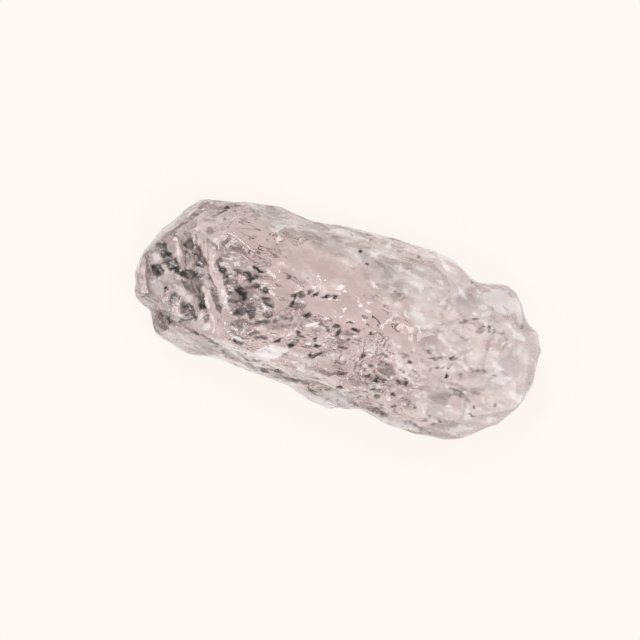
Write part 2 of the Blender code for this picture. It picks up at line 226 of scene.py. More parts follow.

# %% Painted shade, as smoky flaws: x, y, half length, half width, turn in degrees, depth
PAINTED_SHADE_SPOTS = [
    (-14.03, -0.43, 0.40, 0.34, 18, 0.18), (-13.83, -2.02, 0.96, 0.20, -48, 0.55),
    (-13.12, 0.75, 0.62, 0.50, -27, 0.68), (-13.08, -2.91, 0.55, 0.16, -62, 0.55),
    (-12.93, -0.90, 0.81, 0.52, -20, 0.95), (-12.25, -0.02, 1.46, 0.56, -33, 0.79),
    (-12.10, 2.81, 1.60, 0.12, 50, 0.5), (-11.96, 3.32, 0.46, 0.11, 53, 0.4),
    (-11.94, -1.87, 0.23, 0.20, 18, 0.77), (-11.73, -4.22, 1.05, 0.57, -37, 0.42),
    (-11.70, 3.61, 0.39, 0.11, 23, 0.6), (-11.43, 0.87, 0.27, 0.18, 48, 0.66),
    (-11.30, 1.51, 0.56, 0.54, 18, 0.66), (-11.21, -4.50, 0.19, 0.16, 18, 0.66),
    (-11.15, -2.33, 0.55, 0.48, -42, 0.55), (-11.11, -3.90, 1.54, 0.16, -12, 0.66),
    (-10.74, 0.59, 1.11, 0.76, 18, 0.33), (-10.59, -0.42, 1.08, 0.46, 15, 0.75),
    (-10.59, 1.14, 0.86, 0.28, -62, 0.44), (-10.56, -4.69, 1.36, 0.18, -20, 0.33),
    (-10.48, -1.27, 1.05, 0.44, -47, 0.55), (-10.32, 1.15, 0.77, 0.18, -50, 0.66),
    (-10.25, -3.83, 0.23, 0.12, -22, 0.88), (-10.22, -2.88, 0.73, 0.46, -62, 0.75),
    (-10.20, -1.10, 1.48, 0.90, -42, 0.44), (-10.19, 2.79, 0.42, 0.44, 18, 0.46),
    (-10.17, 4.02, 0.57, 0.11, 43, 0.4), (-10.12, 0.53, 0.77, 0.41, 26, 0.55),
    (-9.99, -3.44, 0.52, 0.30, 18, 0.66), (-9.83, 4.43, 0.50, 0.11, 46, 0.65),
    (-9.71, -2.88, 0.93, 0.26, -47, 0.72), (-9.65, 4.82, 0.37, 0.11, 13, 0.65),
    (-9.61, 1.92, 0.55, 0.24, -32, 0.44), (-9.56, 3.97, 0.21, 0.11, 108, 0.55),
    (-9.31, -1.91, 1.03, 0.50, -50, 0.84), (-9.30, -4.16, 0.93, 0.20, -12, 0.83),
    (-9.21, -0.10, 1.71, 0.18, -52, 0.62), (-9.09, -2.17, 0.59, 0.47, 18, 0.95),
    (-8.98, 1.09, 0.32, 0.38, 18, 0.55), (-8.82, 2.47, 0.37, 0.28, 108, 0.33),
    (-8.59, -1.38, 0.80, 0.28, -57, 0.55), (-8.52, -2.92, 0.35, 0.34, 18, 0.55),
    (-8.50, 0.43, 0.77, 0.36, -32, 0.77), (-8.22, -4.86, 1.03, 0.34, -10, 0.25),
    (-8.22, 1.02, 0.19, 0.16, 18, 0.44), (-8.18, 2.05, 0.59, 0.18, -22, 0.5),
    (-8.15, -1.95, 0.85, 0.26, -57, 0.5), (-8.03, 0.03, 0.68, 0.34, 108, 0.45),
    (-7.99, 4.60, 1.60, 0.16, 53, 0.25), (-7.97, -4.36, 1.08, 0.14, -14, 0.68),
    (-7.78, -1.58, 0.25, 0.16, 108, 0.5), (-7.78, -0.74, 2.05, 0.63, -57, 0.38),
    (-7.75, 3.20, 0.11, 0.11, 18, 0.4), (-7.65, -0.10, 0.68, 0.34, -22, 0.5),
    (-7.51, 0.77, 0.41, 0.16, 3, 0.75), (-7.44, 1.74, 0.16, 0.16, 18, 0.4),
    (-7.43, -4.69, 0.34, 0.14, -2, 0.5), (-7.40, -0.83, 0.30, 0.37, 18, 0.8),
    (-7.16, 3.35, 0.23, 0.21, 18, 0.4), (-7.11, -0.78, 1.10, 0.85, 8, 0.7),
    (-7.10, 0.67, 0.46, 0.14, -2, 0.95), (-6.95, -0.85, 0.80, 0.55, 10, 0.82),
    (-6.95, 2.32, 0.32, 0.23, 18, 0.3), (-6.90, -1.00, 0.46, 0.25, 38, 0.8),
    (-6.82, -1.36, 0.91, 0.34, 18, 0.4), (-6.74, 0.70, 0.71, 0.27, -20, 0.97),
    (-6.60, -0.90, 1.60, 1.10, -12, 0.34), (-6.57, -5.01, 0.80, 0.23, -7, 0.3),
    (-6.51, 0.43, 0.34, 0.32, 18, 0.97), (-6.51, 2.44, 0.23, 0.23, 18, 0.55),
    (-6.46, -1.83, 0.71, 0.39, 33, 0.7), (-6.32, -3.32, 0.68, 0.14, -14, 0.55),
    (-6.31, -2.68, 0.80, 0.46, 18, 0.5), (-6.23, 0.06, 0.75, 0.23, 22, 0.68),
    (-6.23, 1.30, 0.59, 0.18, -20, 0.97), (-6.22, 3.44, 0.11, 0.11, 18, 0.4),
    (-6.18, 0.78, 0.32, 0.27, 18, 0.7), (-6.03, -3.82, 0.80, 0.14, -4, 0.75),
    (-5.90, 0.17, 0.23, 0.25, 18, 0.88), (-5.81, -1.87, 0.51, 0.18, -42, 0.75),
    (-5.81, -1.49, 0.68, 0.48, -52, 0.6), (-5.74, -2.61, 1.03, 0.34, 23, 0.35),
    (-5.67, -4.67, 0.46, 0.11, -24, 0.6), (-5.33, 0.07, 0.34, 0.30, 18, 0.7),
    (-5.30, -2.95, 0.80, 0.30, 26, 0.5), (-4.90, -2.09, 0.91, 0.20, 23, 0.73),
    (-4.86, -0.64, 0.78, 0.35, -24, 0.67), (-4.73, -5.21, 0.63, 0.11, -2, 0.6),
    (-4.60, -1.44, 0.43, 0.41, 18, 0.7), (-4.59, -3.06, 0.66, 0.17, 18, 0.49),
    (-4.57, -3.08, 0.56, 0.17, 18, 0.61), (-4.45, -4.78, 0.63, 0.11, 13, 0.6),
    (-4.10, 1.46, 0.25, 0.14, 108, 0.4), (-4.06, 1.47, 0.27, 0.16, 108, 0.56),
    (-4.02, -2.06, 1.37, 0.46, 8, 0.22), (-3.91, -1.60, 0.51, 0.18, 48, 0.49),
    (-3.72, -5.22, 0.57, 0.14, -4, 0.85), (-3.43, -1.28, 0.75, 0.20, 13, 0.43),
    (-3.38, -2.87, 0.43, 0.14, 38, 0.82), (-3.28, 0.37, 0.60, 0.15, 8, 0.67),
    (-3.23, -0.07, 0.56, 0.20, 80, 0.98), (-2.94, -1.20, 0.23, 0.14, 18, 0.82),
    (-2.87, -0.25, 0.82, 0.23, 18, 0.49), (-2.85, -5.03, 0.71, 0.13, 0, 0.85),
    (-2.85, 0.60, 0.34, 0.34, 18, 0.67), (-2.73, 1.80, 0.16, 0.11, 18, 0.4),
    (-2.59, -5.32, 0.68, 0.14, 8, 0.5), (-2.44, -3.03, 0.36, 0.15, 48, 0.98),
    (-2.43, -2.95, 0.42, 0.22, 18, 0.92), (-2.40, -2.77, 0.63, 0.18, 78, 0.73),
    (-2.33, 0.94, 0.34, 0.16, 63, 0.98), (-2.27, -2.76, 0.73, 0.26, 58, 0.68),
    (-2.22, -2.41, 0.35, 0.14, 48, 0.95), (-2.10, -0.68, 0.48, 0.23, 18, 0.68),
    (-2.06, -2.10, 0.51, 0.14, -12, 0.82), (-1.96, 0.84, 0.39, 0.17, 63, 0.98),
    (-1.95, -5.32, 1.37, 0.16, 6, 0.62), (-1.48, -4.84, 0.57, 0.11, 18, 0.4),
    (-1.40, -5.18, 0.57, 0.11, 8, 0.78), (-1.37, -5.18, 0.91, 0.14, 6, 0.6),
    (-1.14, -0.79, 0.51, 0.14, -22, 0.43), (-1.12, 0.99, 0.48, 0.17, 33, 0.98),
    (-1.03, -2.02, 0.25, 0.20, -22, 0.82), (-0.89, -3.24, 0.36, 0.15, 18, 0.98),
    (-0.75, -2.44, 0.35, 0.18, 18, 0.89), (-0.72, -3.11, 1.13, 0.18, 30, 0.68),
    (-0.68, -0.90, 0.75, 0.14, -32, 0.61), (-0.64, -5.19, 0.46, 0.11, 8, 0.67),
    (-0.64, 1.21, 0.27, 0.18, -22, 0.98), (-0.31, -4.66, 0.91, 0.11, 6, 0.5),
    (-0.19, -5.55, 0.52, 0.11, -10, 0.67), (0.11, -4.91, 0.50, 0.11, 3, 0.67),
    (0.14, -0.70, 0.37, 0.18, 18, 0.95), (0.17, 4.71, 0.16, 0.14, 18, 0.8),
    (0.40, -1.10, 0.43, 0.18, 88, 0.95), (0.55, 5.13, 0.46, 0.11, 23, 0.4),
    (0.82, 4.03, 0.25, 0.11, -22, 0.95), (0.88, -0.22, 0.41, 0.11, 13, 0.73),
    (0.96, -2.05, 0.50, 0.13, 23, 0.87), (1.12, -0.99, 0.88, 0.20, 18, 0.39),
    (1.17, -1.40, 0.23, 0.13, 58, 0.63), (1.18, -5.09, 0.68, 0.11, 23, 0.56),
    (1.20, -3.58, 0.88, 0.24, -22, 0.39), (1.42, -0.60, 0.39, 0.18, 8, 0.98),
    (1.65, -4.70, 0.30, 0.16, 3, 0.9), (2.11, 6.31, 0.68, 0.14, 0, 0.4),
    (2.18, 3.46, 2.97, 1.48, -27, 0.2), (2.20, -3.01, 0.25, 0.13, 68, 0.63),
    (2.44, -4.79, 0.25, 0.11, 18, 0.56), (2.46, -2.12, 0.44, 0.17, 78, 0.87),
    (2.51, -0.46, 0.11, 0.13, 18, 0.94), (2.52, -0.47, 0.18, 0.13, 18, 0.78),
    (2.73, -1.78, 0.30, 0.13, 18, 0.63), (2.74, -4.69, 0.41, 0.14, 8, 0.62),
    (2.99, -5.45, 0.46, 0.11, -7, 0.4), (3.00, -0.37, 0.57, 0.13, 18, 0.34),
    (3.19, 2.80, 0.27, 0.11, -22, 0.5), (3.25, -3.38, 0.44, 0.20, 78, 0.71),
    (3.26, 2.75, 0.50, 0.11, -22, 0.5), (3.29, -2.74, 0.34, 0.13, 8, 0.61),
    (3.67, 2.76, 0.46, 0.11, 18, 0.3), (3.71, -4.80, 0.30, 0.11, -32, 0.67),
    (3.74, -2.42, 0.18, 0.16, 18, 0.87), (3.80, -3.38, 0.91, 0.45, 18, 0.35),
    (3.83, -4.00, 0.27, 0.14, 18, 0.56), (3.84, -1.67, 0.30, 0.17, 18, 0.69),
    (3.90, -3.30, 0.39, 0.22, 18, 0.8), (3.98, 1.04, 0.34, 0.11, 18, 0.35),
    (4.03, 5.58, 0.11, 0.11, 18, 0.4), (4.26, -4.54, 0.34, 0.18, 58, 0.5),
    (4.33, -2.82, 0.52, 0.13, -17, 0.61), (4.36, -2.39, 0.86, 0.55, -17, 0.45),
    (4.39, -3.27, 0.25, 0.16, -2, 0.71), (4.48, -5.48, 0.30, 0.11, 18, 0.5),
    (4.72, -5.06, 0.25, 0.11, -22, 0.67), (5.02, -5.60, 0.46, 0.14, -7, 0.5),
    (5.14, -1.24, 0.60, 0.24, 18, 0.35), (5.15, -5.63, 0.34, 0.14, -2, 0.36),
    (5.28, -3.92, 0.18, 0.14, 18, 0.75), (5.29, -3.95, 0.23, 0.16, 18, 0.84),
    (5.41, -3.02, 0.39, 0.19, 18, 0.67), (5.48, -4.81, 0.51, 0.11, 26, 0.4),
    (5.69, -1.54, 0.23, 0.11, -42, 0.67), (5.69, -1.51, 0.25, 0.11, -42, 0.75),
    (5.81, -2.94, 0.44, 0.19, 108, 0.84), (6.09, -5.54, 0.46, 0.11, 33, 0.3),
    (6.19, -2.04, 0.34, 0.11, -42, 0.5), (6.52, -4.38, 0.32, 0.11, 73, 0.4),
    (6.61, -0.45, 0.34, 0.11, 8, 0.4), (6.65, -0.44, 0.46, 0.11, 10, 0.5),
    (7.00, -4.41, 0.14, 0.14, 18, 0.84), (7.01, -4.44, 0.11, 0.11, 18, 0.75),
    (7.17, -5.61, 1.26, 0.11, -2, 0.3), (7.23, -0.13, 0.16, 0.11, 18, 0.4),
    (7.26, -0.75, 0.80, 0.11, 18, 0.4), (7.28, -0.72, 0.68, 0.11, 23, 0.4),
    (7.31, -1.58, 0.14, 0.11, 18, 0.6), (7.65, -1.32, 0.68, 0.11, 18, 0.6),
    (7.90, -4.97, 0.34, 0.11, 18, 0.4), (7.92, -5.83, 0.27, 0.11, -32, 0.36),
    (8.13, 5.04, 0.14, 0.11, 18, 0.6), (8.20, -4.62, 0.18, 0.14, 18, 0.7),
    (8.41, 2.22, 0.46, 0.16, 18, 0.35), (8.44, -1.69, 0.25, 0.13, 83, 0.85),
    (8.47, -1.01, 0.37, 0.11, 63, 0.5), (8.50, -5.79, 0.30, 0.11, -27, 0.36),
    (8.50, -0.43, 0.41, 0.18, 18, 0.75), (8.55, -5.16, 0.23, 0.11, 48, 0.5),
    (8.84, 1.15, 0.37, 0.11, 18, 0.35), (8.96, -4.86, 0.32, 0.11, 23, 0.6),
    (9.09, 2.61, 0.41, 0.11, 13, 0.5), (9.10, -2.83, 0.18, 0.11, 18, 0.45),
    (9.35, -1.36, 0.39, 0.21, -32, 0.3), (9.74, -2.58, 1.26, 0.25, -15, 0.35),
    (9.74, 2.02, 0.46, 0.23, 18, 0.35), (9.86, 2.31, 0.30, 0.14, 38, 0.65),
    (9.99, -0.73, 0.34, 0.11, -57, 0.35), (10.25, 2.39, 0.32, 0.11, 98, 0.6),
    (10.40, -2.79, 0.25, 0.11, -17, 0.6), (10.57, -0.71, 0.68, 0.18, 18, 0.35),
    (10.63, 2.39, 0.34, 0.11, 88, 0.5), (10.86, -2.14, 0.46, 0.18, 18, 0.25),
    (10.95, -3.71, 0.34, 0.11, -7, 0.5), (11.02, -3.14, 0.18, 0.14, -27, 0.85),
    (11.07, 2.34, 0.41, 0.11, 18, 0.4), (11.54, -0.69, 0.16, 0.11, -12, 0.4),
    (11.62, 1.44, 0.32, 0.11, 63, 0.35), (12.27, -2.43, 0.11, 0.11, 18, 0.5),
    (12.45, 3.16, 0.23, 0.11, 38, 0.4),
]
print("smoky flaws:", len(PAINTED_SHADE_SPOTS))

# %% Milky and white places, the smallest of them painted glints: x, y, half length, half width, turn in degrees, whiteness
PALE_AND_GLINT_SPOTS = [
    (-13.85, -2.20, 0.75, 0.50, -60, 0.6), (-13.27, 0.02, 0.57, 0.38, -42, 0.56),
    (-12.60, -3.60, 1.10, 0.55, -45, 0.56), (-12.52, -2.01, 1.04, 0.66, -42, 0.5),
    (-12.01, 3.72, 0.57, 0.13, 33, 0.6), (-11.92, 4.22, 0.11, 0.10, 18, 1),
    (-11.80, -4.45, 0.85, 0.50, -40, 0.6), (-11.36, -3.25, 1.14, 0.47, -17, 0.4),
    (-11.22, -4.99, 0.66, 0.13, -22, 0.5), (-11.21, 4.13, 0.15, 0.11, 18, 1),
    (-11.16, 2.65, 0.13, 0.11, 18, 0.9), (-10.84, 4.80, 0.21, 0.10, 18, 1),
    (-10.80, -1.71, 1.04, 0.40, -57, 0.56), (-10.62, -0.07, 0.90, 0.10, 20, 0.6),
    (-10.56, -1.04, 0.13, 0.11, 108, 1), (-10.15, 1.88, 0.10, 0.10, 18, 0.8),
    (-10.13, -5.23, 0.57, 0.10, -12, 0.7), (-10.02, 4.37, 0.19, 0.10, 28, 0.9),
    (-10.00, 5.10, 1.00, 0.45, 10, 0.62), (-9.90, 4.95, 1.30, 0.40, 10, 0.48),
    (-9.65, 3.73, 0.38, 0.13, 78, 0.55), (-9.36, -0.57, 0.90, 0.15, -60, 0.75),
    (-9.31, -4.63, 1.52, 0.47, -12, 0.42), (-9.19, -2.12, 0.11, 0.11, 18, 1),
    (-9.17, 3.29, 0.47, 0.19, 88, 0.5), (-9.15, -3.04, 0.80, 0.15, 48, 0.65),
    (-8.91, 4.30, 0.57, 0.17, 63, 0.7), (-8.50, -3.48, 0.43, 0.10, 53, 0.95),
    (-8.32, -3.53, 0.40, 0.15, 58, 0.9), (-8.21, -3.59, 0.17, 0.11, 18, 1),
    (-7.70, 5.16, 1.04, 0.11, 56, 0.9), (-7.63, -0.31, 0.13, 0.13, 18, 1),
    (-7.62, -1.36, 0.76, 0.11, -60, 0.85), (-7.30, -1.85, 0.21, 0.13, 18, 1),
    (-6.81, 1.20, 0.28, 0.21, 18, 0.9), (-6.74, -5.27, 0.47, 0.11, -2, 0.9),
    (-6.64, -4.82, 0.38, 0.10, -7, 0.8), (-6.47, -3.88, 0.25, 0.10, 28, 1),
    (-6.41, 0.80, 0.15, 0.11, 108, 0.95), (-6.41, 4.69, 0.38, 0.10, -32, 0.9),
    (-6.10, -3.59, 0.76, 0.13, -14, 1), (-6.05, 4.40, 0.46, 0.12, 38, 0.85),
    (-6.02, 4.34, 0.60, 0.13, -22, 0.85), (-6.00, 5.55, 1.30, 0.35, -15, 0.48),
    (-5.98, -4.48, 0.28, 0.10, -12, 1), (-5.95, 4.30, 0.42, 0.11, 128, 0.8),
    (-5.83, -2.73, 0.27, 0.11, 38, 1), (-5.68, 4.50, 0.38, 0.17, 78, 1),
    (-5.60, -2.27, 0.19, 0.10, 28, 0.85), (-5.57, 3.78, 0.38, 0.11, 93, 1),
    (-5.46, -3.63, 0.23, 0.11, 38, 1), (-5.42, -5.44, 0.57, 0.11, -2, 0.9),
    (-5.29, 0.03, 0.11, 0.11, 18, 1), (-5.22, -4.49, 0.57, 0.28, -22, 0.8),
    (-5.07, -1.89, 0.11, 0.10, 18, 0.9), (-4.96, 0.47, 0.10, 0.10, 18, 0.9),
    (-4.60, -1.46, 0.12, 0.12, 18, 1), (-4.60, 3.20, 1.10, 0.40, 40, 0.34),
    (-4.58, 2.15, 0.66, 0.10, 3, 0.6), (-4.08, -4.37, 0.76, 0.38, 18, 1),
    (-3.96, -5.51, 0.85, 0.11, -4, 0.75), (-3.81, 2.11, 0.11, 0.11, 18, 0.95),
    (-3.59, -3.79, 1.52, 0.57, 20, 1), (-3.00, 1.90, 1.40, 0.50, 10, 0.34),
    (-2.89, 0.21, 0.66, 0.10, -2, 0.8), (-2.87, -4.44, 1.04, 0.13, 16, 0.95),
    (-2.87, -1.18, 0.28, 0.10, -12, 0.75), (-2.40, 3.60, 1.00, 0.35, 60, 0.34),
    (-2.37, -0.89, 0.28, 0.10, -27, 0.95), (-2.06, -4.59, 0.19, 0.10, -12, 0.95),
    (-2.04, -3.63, 0.38, 0.10, 28, 0.8), (-2.00, -3.60, 0.38, 0.11, 28, 0.85),
    (-1.73, -5.64, 0.38, 0.11, -2, 0.9), (-1.42, -4.34, 0.47, 0.21, 18, 0.55),
    (-1.40, 1.30, 1.10, 0.40, -30, 0.34), (-1.18, -4.31, 0.19, 0.11, 18, 1),
    (-0.73, 2.13, 1.04, 0.57, 38, 0.35), (-0.63, -1.05, 0.38, 0.10, -42, 0.85),
    (-0.23, -1.51, 0.47, 0.10, -7, 0.85), (-0.01, -5.58, 0.28, 0.10, -12, 0.85),
    (0.00, -0.90, 0.80, 0.50, 0, 0.34), (0.00, -0.66, 0.28, 0.10, 18, 0.75),
    (0.19, -5.81, 0.11, 0.10, 18, 0.8), (0.58, -2.69, 0.66, 0.10, 10, 0.9),
    (0.68, -2.10, 0.15, 0.10, 18, 1), (0.83, -0.07, 0.38, 0.10, 18, 0.75),
    (0.89, -1.83, 0.38, 0.11, 18, 0.9), (0.90, 1.40, 1.10, 0.40, -40, 0.32),
    (1.06, -4.96, 0.32, 0.11, 23, 1), (1.12, 4.93, 0.57, 0.15, -2, 0.85),
    (1.42, -0.72, 0.23, 0.10, 18, 1), (1.51, -5.59, 2.47, 0.66, 13, 0.76),
    (1.60, -4.20, 4.60, 0.90, -2, 0.38), (1.87, 5.60, 0.25, 0.21, 18, 0.8),
    (1.94, 5.91, 0.28, 0.13, -12, 0.9), (2.20, -5.00, 2.60, 0.45, 0, 0.45),
    (2.29, -5.51, 0.28, 0.10, 23, 0.85), (2.40, -5.90, 1.60, 0.35, -5, 0.62),
    (2.60, 4.30, 1.20, 0.50, -20, 0.46), (2.62, -1.69, 0.21, 0.10, -12, 0.75),
    (2.87, -2.20, 0.28, 0.13, 48, 0.75), (2.91, 3.68, 0.19, 0.11, 8, 1),
    (2.91, 3.68, 0.19, 0.11, 18, 1), (3.00, 5.50, 0.17, 0.10, 18, 1),
    (3.20, 2.00, 1.60, 0.90, -35, 0.46), (3.21, 4.47, 0.85, 0.23, -12, 0.8),
    (3.29, -3.37, 0.28, 0.10, -32, 0.9), (3.30, 6.01, 1.90, 0.38, 8, 0.38),
    (3.47, -2.64, 0.23, 0.10, 18, 0.9), (3.84, 1.19, 0.47, 0.10, 18, 0.85),
    (3.84, 4.33, 0.66, 0.19, -27, 0.75), (3.89, 1.17, 0.38, 0.10, 18, 0.8),
    (3.93, -3.67, 0.66, 0.10, 23, 0.95), (4.18, -0.63, 0.47, 0.11, -42, 0.6),
    (4.20, -0.60, 1.10, 0.80, -20, 0.36), (4.28, 2.69, 0.15, 0.11, 18, 0.95),
    (4.54, 1.52, 0.57, 0.11, -34, 0.9), (4.57, -0.79, 0.19, 0.10, 18, 1),
    (4.60, -0.75, 0.19, 0.10, 18, 0.85), (4.71, -2.95, 0.47, 0.10, 28, 0.85),
    (4.78, 3.90, 0.17, 0.11, -2, 1), (4.80, 5.05, 1.70, 0.60, -15, 0.6),
    (5.05, -1.91, 0.27, 0.11, -12, 0.95), (5.05, -1.90, 0.19, 0.13, 18, 0.95),
    (5.10, 4.10, 0.13, 0.10, 18, 0.85), (5.13, -4.51, 0.25, 0.10, 38, 0.85),
    (5.13, -4.50, 0.23, 0.10, 38, 0.95), (5.39, 3.99, 2.47, 1.42, -32, 0.65),
    (5.48, -5.07, 0.38, 0.19, 18, 0.5), (5.48, -5.06, 0.38, 0.11, 18, 0.6),
    (5.48, -2.45, 0.13, 0.10, 18, 0.8), (5.59, 0.89, 0.63, 0.10, -42, 0.95),
    (5.62, 2.95, 0.11, 0.11, 18, 1), (5.65, -0.49, 0.76, 0.10, -52, 0.6),
    (5.70, 1.98, 1.90, 1.42, -42, 0.65), (5.81, 5.81, 0.10, 0.10, 18, 0.8),
    (5.94, -3.89, 0.25, 0.10, 23, 0.85), (6.00, -4.00, 0.90, 0.60, 0, 0.44),
    (6.03, 1.28, 0.15, 0.10, 18, 0.95), (6.20, -4.42, 0.38, 0.10, 48, 0.6),
    (6.24, 0.78, 0.13, 0.11, 18, 1), (6.25, 3.93, 1.33, 0.76, -57, 0.68),
    (6.30, -5.90, 2.40, 0.50, -2, 0.85), (6.31, -2.93, 0.15, 0.11, 18, 1),
    (6.35, 1.26, 0.28, 0.10, -47, 0.85), (6.37, -2.84, 0.28, 0.10, -32, 0.75),
    (6.72, 3.05, 0.19, 0.19, 18, 1), (7.27, -3.04, 0.11, 0.10, 18, 0.95),
    (7.53, 1.55, 0.57, 0.15, 63, 0.6), (7.60, 3.90, 1.60, 0.90, -50, 0.6),
    (7.78, -4.48, 0.23, 0.10, -2, 0.85), (7.79, -0.98, 0.13, 0.10, 18, 0.85),
    (7.80, -1.52, 0.66, 0.13, 23, 0.62), (8.51, -5.68, 0.23, 0.10, -22, 1),
    (8.74, 4.48, 0.57, 0.11, -57, 0.75), (8.78, -1.16, 0.23, 0.11, 48, 0.95),
    (8.90, 3.05, 0.15, 0.10, 18, 0.95), (8.93, 4.54, 0.13, 0.13, 18, 1),
    (9.00, -4.72, 0.13, 0.10, 18, 1), (9.13, -2.19, 0.13, 0.10, 108, 0.85),
    (9.17, -3.57, 0.15, 0.15, 18, 1), (9.30, 4.85, 1.20, 0.65, -40, 0.62),
    (9.38, 3.67, 0.25, 0.19, 48, 1), (9.56, 3.10, 0.21, 0.10, -12, 1),
    (9.58, -3.90, 0.57, 0.10, 78, 0.5), (9.60, 0.37, 0.28, 0.10, -32, 0.95),
    (9.62, -5.33, 0.19, 0.10, -12, 0.85), (9.87, 4.51, 0.85, 0.11, 43, 0.65),
    (9.89, 3.37, 0.57, 0.10, 38, 0.9), (10.01, -2.37, 0.23, 0.11, -2, 0.95),
    (10.30, -4.90, 1.50, 0.50, 20, 0.6), (10.56, -3.42, 0.43, 0.11, -62, 0.95),
    (10.60, -5.00, 1.40, 0.75, 20, 0.68), (10.65, 4.42, 2.28, 1.23, -2, 0.74),
    (10.75, 4.37, 1.14, 0.66, -2, 0.76), (10.85, -3.93, 0.27, 0.10, 18, 1),
    (11.40, -1.46, 1.04, 0.11, 28, 0.55), (11.42, -3.06, 0.27, 0.11, 18, 0.9),
    (12.01, 1.78, 0.13, 0.11, 18, 1), (12.15, -2.99, 0.21, 0.10, 108, 0.65),
    (12.20, 1.50, 1.20, 0.80, 80, 0.62), (12.20, 3.60, 0.85, 0.45, -60, 0.62),
    (12.23, 2.15, 0.57, 0.10, 58, 0.65), (12.66, -0.88, 0.57, 0.10, -57, 0.55),
    (12.67, 0.39, 0.85, 0.15, -2, 0.7), (12.69, -3.49, 0.13, 0.10, 18, 0.95),
    (12.90, 0.90, 1.30, 0.90, -80, 0.62), (13.00, -2.20, 1.20, 0.80, 70, 0.62),
    (13.40, 2.20, 0.65, 0.50, -60, 0.6),
]
print("pale places:", len(PALE_AND_GLINT_SPOTS))

# %% Bars, edges and wide places
PALE_BARS = [                   # x, y, half width at each bend
    [(-11.03, 2.77, 0.26), (-10.53, 2.01, 0.34), (-9.81, 1.23, 0.40), (-9.17, 0.42, 0.43),
     (-8.53, -0.39, 0.42), (-8.05, -1.08, 0.36), (-7.58, -1.77, 0.20)],
    [(-12.37, 1.58, 0.20), (-11.96, 0.95, 0.32), (-11.50, 0.26, 0.34), (-11.25, -0.30, 0.18)],
    [(-9.49, -1.08, 0.14), (-9.06, -1.49, 0.28), (-8.47, -2.14, 0.38), (-7.99, -2.83, 0.42),
     (-7.65, -3.24, 0.40), (-7.00, -3.96, 0.30), (-6.49, -4.47, 0.14)],
    [(-14.37, -0.75, 0.26), (-13.80, -1.58, 0.42), (-13.21, -2.24, 0.50), (-12.73, -2.93, 0.34)],
]
FRONT_LINE = [(x, y, 0.24) for x, y in (
    (-12.08, -3.66), (-10.96, -3.97), (-9.92, -4.06), (-8.75, -4.27), (-7.23, -4.54), (-5.99, -4.99),
    (-4.63, -5.27), (-3.36, -5.28), (-1.37, -5.18), (-0.18, -5.04), (1.18, -5.09), (2.99, -5.45),
    (4.48, -5.48), (5.60, -5.71), (7.17, -5.61), (7.92, -5.83))]
LENS_EDGE = [(x, y, 0.20) for x, y in (
    (0.95, 4.66), (1.84, 4.53), (2.59, 4.01), (3.27, 3.47), (4.28, 2.70))]
CLOUDY_LENS = [(2.2, 3.45, 2.0, 1.1, -27, 1.0)]
WIDE_PAINTED_SHADE = [                 # wide and weak painted shade: x, y, half length, half width, turn, depth
    (-12.0, 0.9, 1.5, 1.1, -30, 0.16), (-9.2, -1.9, 1.5, 0.9, -40, 0.14),
    (-10.5, -3.8, 1.6, 0.8, -15, 0.26), (-8.2, 1.8, 1.4, 1.1, -30, 0.24),
    (-7.0, 1.0, 1.5, 0.8, 0, 0.16), (-8.6, 0.0, 1.4, 0.9, -30, 0.14),
    (-4.6, -0.1, 3.0, 1.2, 5, 0.12), (-3.0, -1.1, 2.0, 1.2, 18, 0.17),
    (-2.0, -2.8, 2.0, 0.9, 10, 0.10), (-2.5, 4.7, 2.8, 1.2, -15, 0.20),
    (0.2, 0.9, 1.6, 0.9, 0, 0.10), (7.6, 0.6, 2.8, 1.8, 8, 0.20), (8.2, 3.4, 1.2, 1.2, 0, 0.18),
    (7.9, -2.4, 2.4, 1.5, 0, 0.13), (9.5, -0.8, 1.8, 1.2, 0, 0.20),
    (11.1, 1.2, 1.8, 1.4, 90, 0.12), (11.9, -1.6, 2.2, 1.7, -20, 0.05),
    (8.4, -4.1, 2.4, 1.1, 5, 0.06), (3.6, 3.1, 3.0, 1.1, -27, 0.10), (-9.6, 0.1, 1.3, 0.9, -45, 0.18),
    (0.3, -3.2, 2.4, 1.1, 0, 0.13), (4.8, 1.9, 1.6, 1.2, -40, 0.10),
    (-6.5, 5.0, 2.4, 1.0, -10, 0.14), (-5.0, 3.0, 1.3, 0.9, 0, 0.13), (-3.0, 1.9, 1.2, 0.8, 10, 0.12),
    (-7.9, -1.4, 1.1, 1.0, 0, 0.24), (-6.0, 0.1, 1.2, 0.9, 0, 0.20), (-8.2, -5.0, 1.2, 0.6, -10, 0.17),
    (-10.2, -4.1, 1.2, 0.7, -10, 0.14),
]
PAINTED_SHADE_BY_X, PALE_AND_GLINT_BY_X, LENS_BY_X, WIDE_PAINTED_SHADE_BY_X = [
    by_column(spots) for spots in (PAINTED_SHADE_SPOTS, PALE_AND_GLINT_SPOTS, CLOUDY_LENS, WIDE_PAINTED_SHADE)]


def bevel(point):
    """1 on the striated bevel at the upper left, 0 inside its inner edge."""
    return fade((point.x + 13.4) * -0.61 + (point.y - 1.0) * 0.79, -0.1, 0.5)


def broken(point):
    """How thickly the short streaks lie: most in the lower middle, few at the ends."""
    left = (1.0 - fade(point.x, -8.0, -4.0)) * (1.0 - 0.6 * fade(point.y, 0.5, 2.5))
    low = 1.0 - fade(point.y + 0.12 * point.x, -1.6, 0.4)
    low *= fade(point.x, -9.0, -6.0) * (1.0 - 0.8 * fade(point.x, 6.5, 9.5))
    return max(left * 0.3, low) * (1.0 - 0.7 * bevel(point))


def base_white(point, side):
    """How milky the ground is, before any mark: both ends, the back edge and the side faces, whose
    whiteness is painted light for a bright rim.
    """
    left_end = 0.36 * (1.0 - fade(point.x, -9.5, -7.0))
    right_end = (0.51 + 0.11 * fade(point.x, 10.8, 13.0)) * fade(point.x, 4.5, 8.0)
    back_edge = 0.52 * fade(point.y + 0.22 * point.x, 1.8, 4.2)
    return max(left_end, right_end, back_edge, 0.67 * side, 0.14 + 0.12 * broken(point))


print("bars:", len(PALE_BARS))
